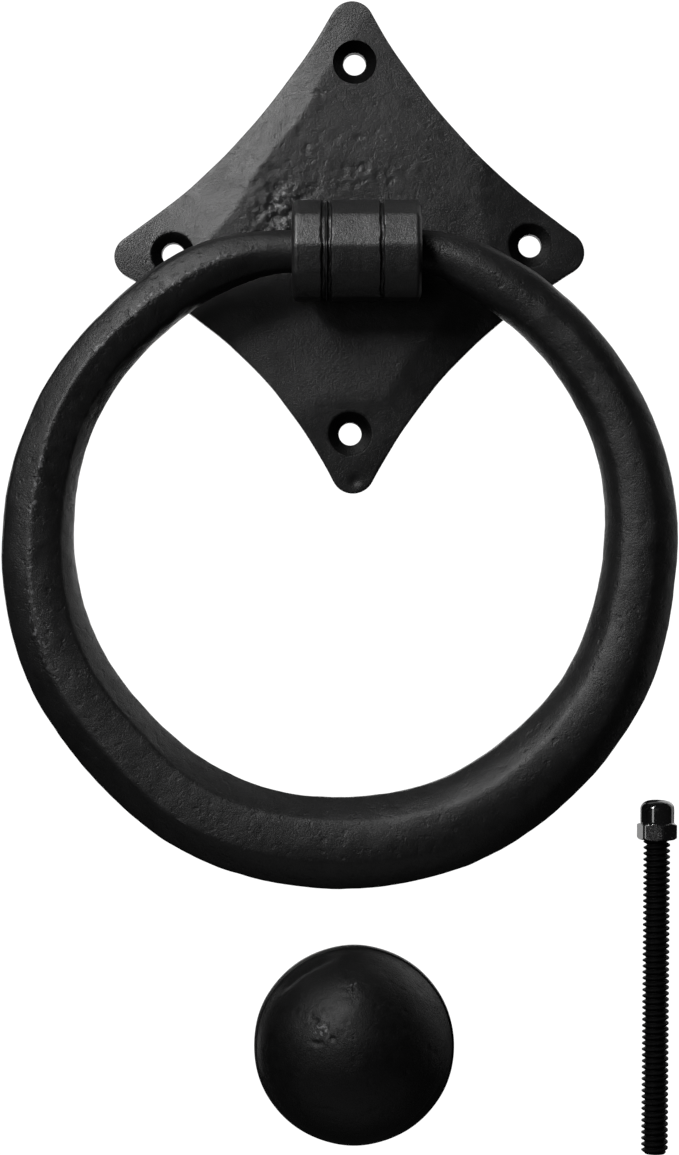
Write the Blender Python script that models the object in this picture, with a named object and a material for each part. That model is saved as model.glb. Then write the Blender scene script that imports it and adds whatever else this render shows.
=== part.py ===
"""Iron ring door knocker: back plate, knuckle and pull ring, with the striker that the ring knocks
against and the threaded rod and cap nut that hold the striker to the door.

Units are metres and +Z is up. The plate hangs on a door whose face is the plane y = 0, the front
faces -Y, and the origin is the middle of the plate's back face. The striker and its rod lie loose
in front of the same door face, below the ring.
"""

import math

import bmesh
import bpy
from mathutils import Matrix, Vector

# Back plate: a diamond with hollow sides and round tips, bevelled down to a thinner edge.
# Tips are the centres of the round tips, as (x, z), going clockwise from the top.
PLATE_TIPS = ((0.0004, 0.0401), (0.0382, -0.0007), (0.0006, -0.0399), (-0.0382, -0.0015))
PLATE_TIP_RADIUS = 0.0040
# How far the middle of each side stands outside the line between its two tips' centres.
SIDE_BULGES = (0.0006, 0.0001, -0.0005, 0.0008)
PLATE_EDGE_THICKNESS = 0.0029
PLATE_THICKNESS = 0.0040
BEVEL_AT_TIPS = 0.0014
BEVEL_AT_SIDES = 0.0044
ARC_STEPS_TIP = 8
ARC_STEPS_SIDE = 9

# Four countersunk screw holes, one in each tip, as (x, z).
SCREW_HOLES = ((0.0009, 0.0331), (0.0323, 0.0005), (0.0001, -0.0332), (-0.0316, -0.0010))
SCREW_HOLE_RADIUS = 0.00205
COUNTERSINK_RADIUS = 0.0039
COUNTERSINK_DEPTH = 0.0020

# Knuckle: a barrel on a short neck, with a round tenon riveted through the plate.
HINGE = Vector((0.0012, -0.0145, -0.0021))
BARREL_RADIUS = 0.0090
BARREL_LENGTH = 0.0224
BARREL_CHAMFER = 0.0007
BORE_RADIUS = 0.0042
GROOVE_DEPTH = 0.00045
# Each ring groove's middle, from the barrel's middle, and its width.
GROOVES = ((-0.0052, 0.0013), (0.0042, 0.0008))
NECK_WIDTH = 0.0176
NECK_HEIGHT = 0.0100
NECK_BEVEL = 0.0009
TENON_RADIUS = 0.0040
PEENED_RADIUS = 0.0054
PEENED_DEPTH = 0.0014
GAP = 0.0003

# Pull ring: one round bar, thin where it enters the knuckle and thickest at the bottom.
RING_CENTRE = (-0.0017, -0.0524)
RING_RADIUS = 0.0528
# Where the bend came out a little flat: the angle clockwise from the top, and how far inward.
RING_FLATS = (
    (math.radians(98), 0.0005),
    (math.radians(138), 0.0003),
    (math.radians(228), 0.0005),
    (math.radians(318), 0.0004),
)
RING_FLAT_SPREAD = math.radians(14)
BAR_MEAN_RADIUS = 0.00628
BAR_TAPER = 0.00165
JOURNAL_RADIUS = 0.0037
JOURNAL_DEPTH = 0.0095
JOURNAL_CHAMFER = 0.0006
NECKING_LENGTH = 0.010
SHOULDER_ANGLE = math.radians(30)
SHOULDER_STEPS = 6
BEND_STEPS = 24
BAR_SIDES = 16

# Striker: a low dome on a short straight rim, with a blind hole for the rod in its flat back.
STRIKER_CENTRE = (0.0008, -0.1429)
STRIKER_RADIUS = 0.0180
STRIKER_RIM_HEIGHT = 0.0020
STRIKER_STEP = 0.0004
STRIKER_DOME_HEIGHT = 0.0140
STRIKER_HOLE_RADIUS = 0.00245
STRIKER_HOLE_DEPTH = 0.0100
DOME_STEPS = 10

# Threaded rod and cap nut, leaning a little; the rod is placed by the middle of its bare tip.
ROD_TIP = (0.0544, -0.0038, -0.1616)
ROD_LEAN = math.radians(0.45)
ROD_BARE_LENGTH = 0.0560
ROD_IN_NUT = 0.0045
THREAD_PITCH = 0.0254 / 24
THREAD_RADIUS = 0.00238
THREAD_ROOT_RADIUS = 0.00180
THREAD_STEPS = 12
ROD_CHAMFER = 0.0005

NUT_ACROSS_FLATS = 0.0064
NUT_HEX_HEIGHT = 0.0029
NUT_HEX_CHAMFER = 0.0003
NUT_HEX_TURN = math.radians(43)
NUT_DOME_RADIUS = 0.00310
NUT_HEIGHT = 0.0072
# The cap is a drum whose top is rounded over this height, with corners fuller than an ellipse's.
NUT_ROUND_HEIGHT = 0.0020
NUT_ROUND_FULLNESS = 0.8
NUT_BORE_RADIUS = 0.00255
NUT_BORE_DEPTH = 0.0048
CAP_STEPS = 6

ROUND_SIDES = 40
SMALL_SIDES = 24
SHARP_ANGLE = math.radians(32)

BLACK_IRON = (0.020, 0.020, 0.021, 1.0)
BLACK_STEEL = (0.014, 0.014, 0.015, 1.0)


def make_material(name, colour, roughness, metallic):
    material = bpy.data.materials.new(name)
    material.use_nodes = True
    shader = material.node_tree.nodes["Principled BSDF"]
    shader.inputs["Base Color"].default_value = colour
    shader.inputs["Roughness"].default_value = roughness
    shader.inputs["Metallic"].default_value = metallic
    return material


def add_object(name, bm, material=None, parent=None, location=(0, 0, 0), rotation=(0, 0, 0)):
    """Turns a bmesh into a smooth-shaded object under a parent."""
    bmesh.ops.recalc_face_normals(bm, faces=bm.faces)
    mesh = bpy.data.meshes.new(name)
    bm.to_mesh(mesh)
    bm.free()
    mesh.shade_smooth()
    mesh.set_sharp_from_angle(angle=SHARP_ANGLE)
    if material:
        mesh.materials.append(material)
    thing = bpy.data.objects.new(name, mesh)
    bpy.context.collection.objects.link(thing)
    thing.parent = parent
    thing.location = location
    thing.rotation_euler = rotation
    return thing


def boolean(target, tool, operation):
    """Joins, cuts or trims target with a tool object, which is hidden and isn't a part."""
    tool.hide_render = True
    tool.display_type = "WIRE"
    modifier = target.modifiers.new(f"{operation.lower()}_{tool.name}", "BOOLEAN")
    modifier.operation = operation
    modifier.solver = "EXACT"
    modifier.object = tool


def turned(profile, sides, axis="Z", closed=False):
    """A bmesh of revolution about an axis.

    The profile is a list of (radius, height). A radius of 0 makes a point on the axis. A closed
    profile joins its last point to its first, which leaves a hole along the axis.
    """
    bm = bmesh.new()
    rings = []
    for radius, height in profile:
        if radius == 0:
            rings.append([bm.verts.new((0, 0, height))])
            continue
        angles = [2 * math.pi * k / sides for k in range(sides)]
        rings.append([bm.verts.new((radius * math.cos(a), radius * math.sin(a), height)) for a in angles])
    pairs = list(zip(rings, rings[1:]))
    if closed:
        pairs.append((rings[-1], rings[0]))
    for low, high in pairs:
        for k in range(sides):
            below = [low[k % len(low)], low[(k + 1) % len(low)]]
            above = [high[(k + 1) % len(high)], high[k % len(high)]]
            bm.faces.new(dict.fromkeys(below + above))
    turn = {"X": Matrix.Rotation(math.pi / 2, 4, "Y"), "Y": Matrix.Rotation(math.pi / 2, 4, "X")}
    bm.transform(turn.get(axis, Matrix.Identity(4)))
    return bm


def arc(centre, radius, start, end, steps):
    """Points on an arc, both ends included."""
    for k in range(steps + 1):
        angle = start + (end - start) * k / steps
        yield centre + radius * Vector((math.cos(angle), math.sin(angle)))


def clockwise_between(start, end):
    """The end angle moved by whole turns to lie clockwise of start."""
    return start - (start - end) % (2 * math.pi)


def diamond_outline(tip_radius, bulges):
    """The diamond's outline, clockwise: a convex arc at each tip and a hollow arc along each side,
    which meet without a corner because the two circles touch there."""
    tips = [Vector(tip) for tip in PLATE_TIPS]
    side_centres = []
    side_radii = []
    for i, bulge in enumerate(bulges):
        start, end = tips[i], tips[(i + 1) % len(tips)]
        half = (end - start).length / 2
        outward = Vector((start.y - end.y, end.x - start.x)) / (2 * half)
        radius = (half**2 + bulge**2 - tip_radius**2) / (2 * (tip_radius - bulge))
        side_centres.append((start + end) / 2 + outward * (radius + bulge))
        side_radii.append(radius)

    points = []
    for i, tip in enumerate(tips):
        before, after = side_centres[i - 1] - tip, side_centres[i] - tip
        start = math.atan2(before.y, before.x)
        end = clockwise_between(start, math.atan2(after.y, after.x))
        points += list(arc(tip, tip_radius, start, end, ARC_STEPS_TIP))
        following = tips[(i + 1) % len(tips)]
        from_tip = tip - side_centres[i]
        to_tip = following - side_centres[i]
        start = math.atan2(from_tip.y, from_tip.x)
        turn = from_tip.angle_signed(to_tip)
        side = list(arc(side_centres[i], side_radii[i], start, start - turn, ARC_STEPS_SIDE))
        points += side[1:-1]
    return points


def make_back_plate(material, parent):
    narrow = [bulge - BEVEL_AT_SIDES for bulge in SIDE_BULGES]
    loops = (
        (0.0, diamond_outline(PLATE_TIP_RADIUS, SIDE_BULGES)),
        (-PLATE_EDGE_THICKNESS, diamond_outline(PLATE_TIP_RADIUS, SIDE_BULGES)),
        (-PLATE_THICKNESS, diamond_outline(PLATE_TIP_RADIUS - BEVEL_AT_TIPS, narrow)),
    )
    bm = bmesh.new()
    rows = [[bm.verts.new((p.x, y, p.y)) for p in outline] for y, outline in loops]
    for low, high in zip(rows, rows[1:]):
        for k in range(len(low)):
            after = (k + 1) % len(low)
            bm.faces.new((low[k], low[after], high[after], high[k]))
    bm.faces.new(rows[0])
    bm.faces.new(rows[-1])
    plate = add_object("back_plate", bm, material, parent)

    front = -PLATE_THICKNESS
    over = COUNTERSINK_DEPTH
    flare = (COUNTERSINK_RADIUS - SCREW_HOLE_RADIUS) / COUNTERSINK_DEPTH
    screw_profile = (
        (0, over),
        (SCREW_HOLE_RADIUS, over),
        (SCREW_HOLE_RADIUS, front + COUNTERSINK_DEPTH),
        (COUNTERSINK_RADIUS, front),
        (COUNTERSINK_RADIUS + flare * GAP, front - GAP),
        (0, front - GAP),
    )
    for i, (x, z) in enumerate(SCREW_HOLES):
        drill = turned_along_y(screw_profile, SMALL_SIDES)
        cutter = add_object(f"screw_hole_{i + 1}", drill, parent=parent)
        cutter.location = (x, 0, z)
        boolean(plate, cutter, "DIFFERENCE")

    rivet_profile = (
        (0, GAP),
        (PEENED_RADIUS + 2 * GAP, GAP),
        (PEENED_RADIUS + GAP, 0),
        (TENON_RADIUS + GAP, -PEENED_DEPTH),
        (TENON_RADIUS + GAP, 2 * front),
        (0, 2 * front),
    )
    cutter = add_object("tenon_hole", turned_along_y(rivet_profile, SMALL_SIDES), parent=parent)
    cutter.location = (HINGE.x, 0, HINGE.z)
    boolean(plate, cutter, "DIFFERENCE")
    return plate


def turned_along_y(profile, sides):
    """A turned shape whose profile heights are y coordinates."""
    return turned([(radius, -y) for radius, y in profile], sides, axis="Y")


def barrel_profile():
    """The barrel from end to end, with its two ring grooves."""
    half = BARREL_LENGTH / 2
    profile = [(0, -half), (BARREL_RADIUS - BARREL_CHAMFER, -half), (BARREL_RADIUS, -half + BARREL_CHAMFER)]
    for middle, width in GROOVES:
        lip = 0.25 * width
        profile += [
            (BARREL_RADIUS, middle - width / 2),
            (BARREL_RADIUS - GROOVE_DEPTH, middle - width / 2 + lip),
            (BARREL_RADIUS - GROOVE_DEPTH, middle + width / 2 - lip),
            (BARREL_RADIUS, middle + width / 2),
        ]
    profile += [(BARREL_RADIUS, half - BARREL_CHAMFER), (BARREL_RADIUS - BARREL_CHAMFER, half), (0, half)]
    return profile


def make_knuckle(material, parent):
    barrel = turned(barrel_profile(), ROUND_SIDES, axis="X")
    knuckle = add_object("knuckle", barrel, material, parent, HINGE)

    shoulder = -PLATE_THICKNESS - GAP - HINGE.y
    neck = bmesh.new()
    bmesh.ops.create_cube(neck, size=1)
    bmesh.ops.scale(neck, vec=(NECK_WIDTH, shoulder, NECK_HEIGHT), verts=neck.verts)
    bmesh.ops.translate(neck, vec=(0, shoulder / 2, 0), verts=neck.verts)
    upright = [edge for edge in neck.edges if abs(edge.verts[0].co.y - edge.verts[1].co.y) > shoulder / 2]
    bmesh.ops.bevel(neck, geom=upright, offset=NECK_BEVEL, segments=2, profile=0.5, affect="EDGES")
    boolean(knuckle, add_object("knuckle_neck", neck, parent=knuckle), "UNION")

    back = -HINGE.y
    tenon_profile = (
        (0, shoulder - BARREL_CHAMFER),
        (TENON_RADIUS, shoulder - BARREL_CHAMFER),
        (TENON_RADIUS, back - PEENED_DEPTH),
        (PEENED_RADIUS, back),
        (0, back),
    )
    tenon = add_object("knuckle_tenon", turned_along_y(tenon_profile, SMALL_SIDES), parent=knuckle)
    boolean(knuckle, tenon, "UNION")

    bore_profile = (
        (0, -BARREL_LENGTH),
        (BORE_RADIUS, -BARREL_LENGTH),
        (BORE_RADIUS, BARREL_LENGTH),
        (0, BARREL_LENGTH),
    )
    bore = add_object("knuckle_bore", turned(bore_profile, SMALL_SIDES, axis="X"), parent=knuckle)
    boolean(knuckle, bore, "DIFFERENCE")
    return knuckle


def shoulder_curve(face, joint, end_tangent, outward):
    """A smooth bend, as points, from the barrel's face, where the bar is straight, to the ring."""
    reach = (joint - face).length
    for k in range(SHOULDER_STEPS + 1):
        t = k / SHOULDER_STEPS
        yield (
            (2 * t**3 - 3 * t**2 + 1) * face
            + (t**3 - 2 * t**2 + t) * reach * outward
            + (3 * t**2 - 2 * t**3) * joint
            + (t**3 - t**2) * reach * end_tangent
        )


def bar_radius(point, from_face):
    """The bar's radius: thicker towards the bottom of the ring, and necked down at the knuckle."""
    from_centre = point - Vector(RING_CENTRE)
    upward = from_centre.y / from_centre.length
    full = BAR_MEAN_RADIUS - BAR_TAPER * upward
    necking = math.exp(-((from_face / NECKING_LENGTH) ** 2))
    return full - (full - JOURNAL_RADIUS) * necking


def bend_radius(clockwise):
    """The centreline's distance from the ring's centre, at an angle clockwise from the top."""
    flats = [depth * math.exp(-(((clockwise - at) / RING_FLAT_SPREAD) ** 2)) for at, depth in RING_FLATS]
    return RING_RADIUS - sum(flats)


def half_bar(side):
    """Centreline points and radii on one side of the knuckle, from the journal's end down to the
    bottom of the ring. side is 1 to the right and -1 to the left."""
    outward = Vector((side, 0))
    face = Vector((HINGE.x + side * BARREL_LENGTH / 2, HINGE.z))
    centre = Vector(RING_CENTRE)
    inner = face - outward * JOURNAL_DEPTH
    stations = [
        (inner, JOURNAL_RADIUS - JOURNAL_CHAMFER),
        (inner + outward * JOURNAL_CHAMFER, JOURNAL_RADIUS),
    ]

    def on_ring(angle):
        reach = bend_radius(angle if side > 0 else 2 * math.pi - angle)
        return centre + reach * Vector((side * math.sin(angle), math.cos(angle)))

    end_tangent = Vector((side * math.cos(SHOULDER_ANGLE), -math.sin(SHOULDER_ANGLE)))
    path = list(shoulder_curve(face, on_ring(SHOULDER_ANGLE), end_tangent, outward))
    for k in range(1, BEND_STEPS + 1):
        path.append(on_ring(SHOULDER_ANGLE + (math.pi - SHOULDER_ANGLE) * k / BEND_STEPS))
    from_face = 0.0
    for i, point in enumerate(path):
        if i:
            from_face += (point - path[i - 1]).length
        stations.append((point, bar_radius(point, from_face)))
    return stations


def make_pull_ring(material, parent):
    right = half_bar(1)
    left = half_bar(-1)
    stations = right + left[-2::-1]
    bm = bmesh.new()
    rows = []
    for i, (point, radius) in enumerate(stations):
        before = stations[max(i - 1, 0)][0]
        after = stations[min(i + 1, len(stations) - 1)][0]
        along = (after - before).normalized()
        across = Vector((along.y, 0, -along.x))
        middle = Vector((point.x, HINGE.y, point.y)) - HINGE
        row = []
        for k in range(BAR_SIDES):
            angle = 2 * math.pi * k / BAR_SIDES
            around = math.cos(angle) * across + Vector((0, math.sin(angle), 0))
            row.append(bm.verts.new(middle + radius * around))
        rows.append(row)
    for low, high in zip(rows, rows[1:]):
        for k in range(BAR_SIDES):
            after = (k + 1) % BAR_SIDES
            bm.faces.new((low[k], low[after], high[after], high[k]))
    bm.faces.new(rows[0])
    bm.faces.new(rows[-1])
    return add_object("pull_ring", bm, material, parent, HINGE)


def make_striker(material, parent):
    base = STRIKER_RADIUS - STRIKER_STEP
    dome_radius = (base**2 + STRIKER_DOME_HEIGHT**2) / (2 * STRIKER_DOME_HEIGHT)
    opening = math.asin(base / dome_radius)
    dome_centre = STRIKER_RIM_HEIGHT + STRIKER_DOME_HEIGHT - dome_radius
    profile = [
        (0, -STRIKER_HOLE_DEPTH),
        (STRIKER_HOLE_RADIUS, -STRIKER_HOLE_DEPTH),
        (STRIKER_HOLE_RADIUS, 0),
        (STRIKER_RADIUS, 0),
        (STRIKER_RADIUS, -STRIKER_RIM_HEIGHT),
    ]
    for k in range(DOME_STEPS):
        angle = opening * (1 - k / DOME_STEPS)
        profile.append((dome_radius * math.sin(angle), -dome_centre - dome_radius * math.cos(angle)))
    profile.append((0, -dome_centre - dome_radius))
    place = (STRIKER_CENTRE[0], 0, STRIKER_CENTRE[1])
    return add_object("striker", turned_along_y(profile, ROUND_SIDES), material, parent, place)


def thread_blank(length):
    """The rod before it was threaded: a bar with a chamfer at each end, a little over size."""
    radius = THREAD_RADIUS + GAP
    low = THREAD_RADIUS - ROD_CHAMFER
    run_in = radius - low
    profile = (
        (0, 0),
        (low, 0),
        (radius, run_in),
        (radius, length - run_in),
        (low, length),
        (0, length),
    )
    return turned(profile, SMALL_SIDES)


def thread_helix(length):
    """An endless right-hand thread, longer than the rod by a turn at each end: one crest point and
    one root point at each step round the rod."""
    bm = bmesh.new()
    steps = math.ceil(length / THREAD_PITCH + 3) * THREAD_STEPS
    start = -1.5 * THREAD_PITCH
    crests = []
    roots = []
    for k in range(steps + 1):
        angle = 2 * math.pi * k / THREAD_STEPS
        height = start + THREAD_PITCH * k / THREAD_STEPS
        around = Vector((math.cos(angle), math.sin(angle), 0))
        crests.append(bm.verts.new(THREAD_RADIUS * around + Vector((0, 0, height))))
        roots.append(bm.verts.new(THREAD_ROOT_RADIUS * around + Vector((0, 0, height + THREAD_PITCH / 2))))
    for k in range(steps):
        bm.faces.new((crests[k], crests[k + 1], roots[k + 1], roots[k]))
    for k in range(steps - THREAD_STEPS):
        bm.faces.new((roots[k], roots[k + 1], crests[k + 1 + THREAD_STEPS], crests[k + THREAD_STEPS]))

    bottom = crests[: THREAD_STEPS + 1] + [roots[0]]
    top = roots[steps - THREAD_STEPS :] + [crests[steps]]
    for loop, beyond in ((bottom, -THREAD_PITCH), (top, THREAD_PITCH)):
        height = sum(vert.co.z for vert in loop) / len(loop) + beyond
        apex = bm.verts.new((0, 0, height))
        for k, vert in enumerate(loop):
            bm.faces.new((vert, loop[(k + 1) % len(loop)], apex))
    return bm


def make_threaded_rod(material, parent):
    length = ROD_BARE_LENGTH + ROD_IN_NUT
    rod = add_object("threaded_rod", thread_helix(length), material, parent, ROD_TIP, (0, ROD_LEAN, 0))
    blank = add_object("rod_blank", thread_blank(length), parent=rod)
    boolean(rod, blank, "INTERSECT")
    return rod


def hexagon_prism(across_flats, height, chamfer):
    """A hexagonal prism standing on z = 0, with its top and bottom edges broken."""
    corner = across_flats / math.sqrt(3)
    inset = corner - chamfer
    profile = (
        (0, 0),
        (inset, 0),
        (corner, chamfer),
        (corner, height - chamfer),
        (inset, height),
        (0, height),
    )
    return turned(profile, 6)


def make_cap_nut(material, rod):
    hexagon = hexagon_prism(NUT_ACROSS_FLATS, NUT_HEX_HEIGHT, NUT_HEX_CHAMFER)
    place = (0, 0, ROD_BARE_LENGTH)
    nut = add_object("cap_nut", hexagon, material, rod, place, (0, 0, NUT_HEX_TURN))

    cap_start = NUT_HEIGHT - NUT_ROUND_HEIGHT
    profile = [(0, NUT_HEX_HEIGHT / 2), (NUT_DOME_RADIUS, NUT_HEX_HEIGHT / 2)]
    for k in range(CAP_STEPS):
        angle = math.pi / 2 * k / CAP_STEPS
        radius = NUT_DOME_RADIUS * math.cos(angle) ** NUT_ROUND_FULLNESS
        rise = NUT_ROUND_HEIGHT * math.sin(angle) ** NUT_ROUND_FULLNESS
        profile.append((radius, cap_start + rise))
    profile.append((0, NUT_HEIGHT))
    dome = add_object("nut_dome", turned(profile, SMALL_SIDES), parent=nut)
    boolean(nut, dome, "UNION")

    bore_profile = (
        (0, -NUT_HEX_HEIGHT),
        (NUT_BORE_RADIUS, -NUT_HEX_HEIGHT),
        (NUT_BORE_RADIUS, NUT_BORE_DEPTH),
        (0, NUT_BORE_DEPTH),
    )
    bore = add_object("nut_bore", turned(bore_profile, SMALL_SIDES), parent=nut)
    boolean(nut, bore, "DIFFERENCE")
    return nut


def main():
    for thing in list(bpy.data.objects):
        bpy.data.objects.remove(thing)
    forged = make_material("black_iron", BLACK_IRON, 0.45, 0.6)
    coated = make_material("black_steel", BLACK_STEEL, 0.25, 0.6)
    door_face = bpy.data.objects.new("door_face", None)
    bpy.context.collection.objects.link(door_face)
    make_back_plate(forged, door_face)
    make_knuckle(forged, door_face)
    make_pull_ring(forged, door_face)
    make_striker(forged, door_face)
    rod = make_threaded_rod(coated, door_face)
    make_cap_nut(coated, rod)


main()
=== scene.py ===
"""Looks for the iron ring door knocker: every CAD solid is replaced by a detailed forged or machined
piece in the same place. Mesh code works in millimetres, in the frame's axes: x to the right, y into
the door, z up. Meshes are scaled to metres when they become objects."""

import math

import bmesh
import bpy
import numpy as np
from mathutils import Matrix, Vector
from mathutils.geometry import delaunay_2d_cdt


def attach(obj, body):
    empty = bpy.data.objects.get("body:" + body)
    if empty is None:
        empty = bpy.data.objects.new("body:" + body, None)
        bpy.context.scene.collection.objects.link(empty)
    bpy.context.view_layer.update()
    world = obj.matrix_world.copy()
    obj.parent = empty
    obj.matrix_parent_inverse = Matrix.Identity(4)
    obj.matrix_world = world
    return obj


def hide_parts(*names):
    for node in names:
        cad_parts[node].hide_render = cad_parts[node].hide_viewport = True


MM = 0.001

# Back plate
TIPS = np.array(((0.4, 40.1), (38.2, -0.7), (0.6, -39.9), (-38.2, -1.5)))
TIP_RADIUS = 4.0
SIDE_BULGES = (0.6, 0.1, -0.5, 0.8)
PLATE_THICKNESS = 4.0
# Broad hammered facets: a point on the ridge where each one starts, the direction in which it falls
# in degrees from the right, its slope, how round its ridge is, and half the ridge's length. Past its
# ridge's ends a facet fades out.
FACETS = (
    ((-14.5, 15.8), 145, 0.23, 0.05, 9),
    ((12.6, -17.7), -34, 0.13, 0.10, 20),
    ((24.3, 2.0), 4, 0.11, 0.08, 20),
    ((0.5, -27.6), -92, 0.14, 0.12, 20),
    ((-17.0, -14.0), 222, 0.07, 0.20, 20),
)
FACET_FADE = 20
SCREW_HOLES = np.array(((0.9, 33.1), (32.3, 0.5), (0.1, -33.2), (-31.6, -1.0)))
HOLE_RADIUS = 2.05
COUNTERSINK_RADIUS = 3.9
COUNTERSINK_DEPTH = 2.0
# The roughest place is by the knuckle's upper left, and the middle of the plate is scarred.
LUMPY_PLACE = np.array((-12.0, 6.5))
LUMPY_SPREAD = 3.8
SCARRED_PLACE = np.array((-3.0, 14.0))
SCARRED_SPREAD = np.array((12.0, 9.0))
SCAR_DIRECTION = math.radians(38)
NICKS = np.array(((-5.8, 27.0), (1.9, 19.1), (2.4, 14.0), (7.9, 11.5), (-7.0, 17.5)))
NICK_RADIUS = 0.8
TIP_DENT = np.array((1.0, -41.6))
PLATE_MESH = 0.38
RIM_COLUMNS = 48
# The front's and back's edges lie this far inside the outline.
FRONT_INSET = 0.14
BACK_INSET = 0.2
# The hole that the tenon goes through is this much wider than the tenon.
TENON_CLEARANCE = 0.3

# Knuckle
HINGE = np.array((1.2, -14.5, -2.1))
BARREL_RADIUS = 9.0
BARREL_LENGTH = 22.4
BORE_RADIUS = 4.2
# Each groove's middle along the barrel, its width and its depth.
GROOVES = ((-5.75, 1.0, 0.6), (-4.75, 0.9, 0.6), (4.35, 0.95, 0.55))
# Ridges between the barrel's filed flats, in degrees up from the front.
RIDGES = (39, 1, -32, -70, -110, -150, 170, 128, 82)
FLATNESS = 0.6
# The rounding at each end: distances from the end, and how far in the surface is there.
BARREL_BEVEL = ((0.0, 0.95), (0.12, 0.6), (0.4, 0.25), (0.65, 0.08))
# The flat round the bore at each end, and how far the bore's own edge is rounded.
END_RADIUS = 6.5
BORE_ROUNDING = 0.35
# The neck's width and height, and how square it is: 1 is round and 0 is square.
NECK = (17.6, 10.0)
NECK_SQUARENESS = 0.35
TENON_RADIUS = 4.0
PEENED_RADIUS = 5.4
PEENED_DEPTH = 1.4

# Pull ring
RING_CENTRE = np.array((-1.7, -52.4))
RING_RADIUS = 52.8
# Where the bend came out flat: degrees clockwise from the top, and how far inward.
RING_FLATS = ((98, 0.5), (138, 0.3), (228, 0.5), (318, 0.4))
RING_FLAT_SPREAD = 14
BAR_RADIUS = 6.28
BAR_TAPER = 1.65
JOURNAL_RADIUS = 3.7
JOURNAL_DEPTH = 9.5
# Distances from the journal's end and its radius there.
JOURNAL_END = ((0, 2.9), (0.2, 3.45), (0.6, JOURNAL_RADIUS))
NECKING_LENGTH = 10.0
SHOULDER_ANGLE = math.radians(30)
# Forged flats round the bar, and where their ridges stand, in degrees from the outside of the ring
# towards the front: a mean angle, and how far they twist to either side of it as the bar goes round,
# furthest towards the front at one place, in degrees clockwise from the top.
BAR_FLATS = 7
MEAN_RIDGE = 79
RIDGE_TWIST = 12
TWIST_FROM = 330
# The spread of the painted glints along the ridge, which are put only on the ring's upper left, where
# the light falls.
RIDGE_GLINT_SPREAD = math.radians(9)
BAR_FLATNESS = 0.65

# Striker
STRIKER_CENTRE = np.array((0.8, -142.9))
STRIKER_RADIUS = 18.0
STRIKER_RIM = 2.0
STRIKER_STEP = 0.4
# The crease inside the rim: the middle of each of its two stretches, in degrees, and their half width.
CREASES = ((122, 24), (-48, 34))
CREASE_INSET = 0.055
STRIKER_DOME = 14.0
# Clusters of pits on the dome, where bright specks paint glints: each one's middle, from the
# striker's, and its spread.
PIT_CLUSTERS = ((-5.7, 5.0, 3.0), (-0.2, 12.4, 2.0))
STRIKER_HOLE_RADIUS = 2.45
STRIKER_HOLE_DEPTH = 10.0

# Threaded rod and cap nut
ROD_TIP = np.array((54.4, -3.8, -161.6))
ROD_LEAN = math.radians(0.45)
ROD_BARE = 56.0
ROD_IN_NUT = 4.5
PITCH = 25.4 / 24
CREST = 2.38
ROOT = 1.80
ACROSS_FLATS = 6.4
CORNER_ROUNDING = 0.06
HEX_HEIGHT = 2.9
HEX_TURN = math.radians(43)
CHAMFER_HEIGHT = 0.45
CHAMFER_SLOPE = 1.5
CHAMFER_RADIUS = 3.17
CAP_RADIUS = 3.10
CAP_ROUND_HEIGHT = 2.0
# Below 1 the cap's round is fuller than an ellipse.
CAP_FULLNESS = 0.8
CAP_WALL = CAP_RADIUS - 0.04
NUT_HEIGHT = 7.2
NUT_BORE_RADIUS = 2.55
NUT_BORE_DEPTH = 4.8

SHARP = math.radians(38)

# Camera and lights, in metres
CAMERA_PLACE = (-0.0018, -0.450, -0.0589)
CAMERA_LENS = 77.92
# How bright the white surroundings are as light, and as the background of the picture.
AMBIENT = 0.02
BACKGROUND = 1.1

# Each light's heading and height in degrees, its distance, its size in metres, and its power.
LIGHTS = {
    "window": (-34, 34, 0.60, (0.14, 0.32), 6.6),
    "upper_left": (-30, 60, 0.55, (0.20, 0.20), 0.9),
    "low_window": (-30, -2, 0.60, (0.12, 0.30), 0.40),
    "front_fill": (-8, 10, 1.00, (0.50, 0.50), 0.06),
    "under": (0, -75, 0.22, (0.30, 0.12), 0.05),
    "right_fill": (118, 8, 0.50, (0.25, 0.50), 0.28),
    "left_back": (-153, 5, 0.34, (0.10, 0.40), 0.15),
    "right_back": (140, 25, 0.36, (0.20, 0.30), 0.3),
    "top_back": (0, 115, 0.50, (0.50, 0.20), 0.15),
    "behind": (180, 2, 0.70, (0.50, 0.40), 1.6),
}


# ---------------------------------------------------------------- relief

def hashed(cells, seed):
    """A repeatable random number from 0 to 1 for each whole-number cell."""
    h = cells[..., 0] * 73856093 ^ cells[..., 1] * 19349663 ^ cells[..., 2] * 83492791 ^ seed * 40503
    h = (h ^ (h >> 13)) * 1274126177
    return ((h ^ (h >> 16)) & 0xFFFFFF) / 0xFFFFFF


def noise(points, size, seed=0):
    """Smooth noise from -1 to 1 whose lumps are about that size."""
    scaled = points / size
    cell = np.floor(scaled).astype(np.int64)
    t = scaled - cell
    t = t * t * t * (t * (6 * t - 15) + 10)
    total = 0
    for corner in np.ndindex(2, 2, 2):
        total = total + np.prod(np.where(corner, t, 1 - t), axis=-1) * hashed(cell + corner, seed)
    return 2 * total - 1


def fractal(points, size, seed=0, octaves=3):
    """Noise with finer and fainter noise on top."""
    return sum(noise(points, size / 2**k, seed + k) / 2**k for k in range(octaves))


def hammer_marks(points, size, seed=0):
    """Overlapping shallow dishes: 0 on the ridges between them and -1 in the middle of each."""
    scaled = points / size
    cell = np.floor(scaled).astype(np.int64)
    nearest = np.full(points.shape[:-1], np.inf)
    for offset in np.ndindex(3, 3, 3):
        there = cell + np.array(offset) - 1
        jitter = np.stack([hashed(there, seed + k) for k in range(3)], axis=-1)
        nearest = np.minimum(nearest, ((there + jitter - scaled) ** 2).sum(axis=-1))
    return np.minimum(nearest / 0.6 - 1, 0)


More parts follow.
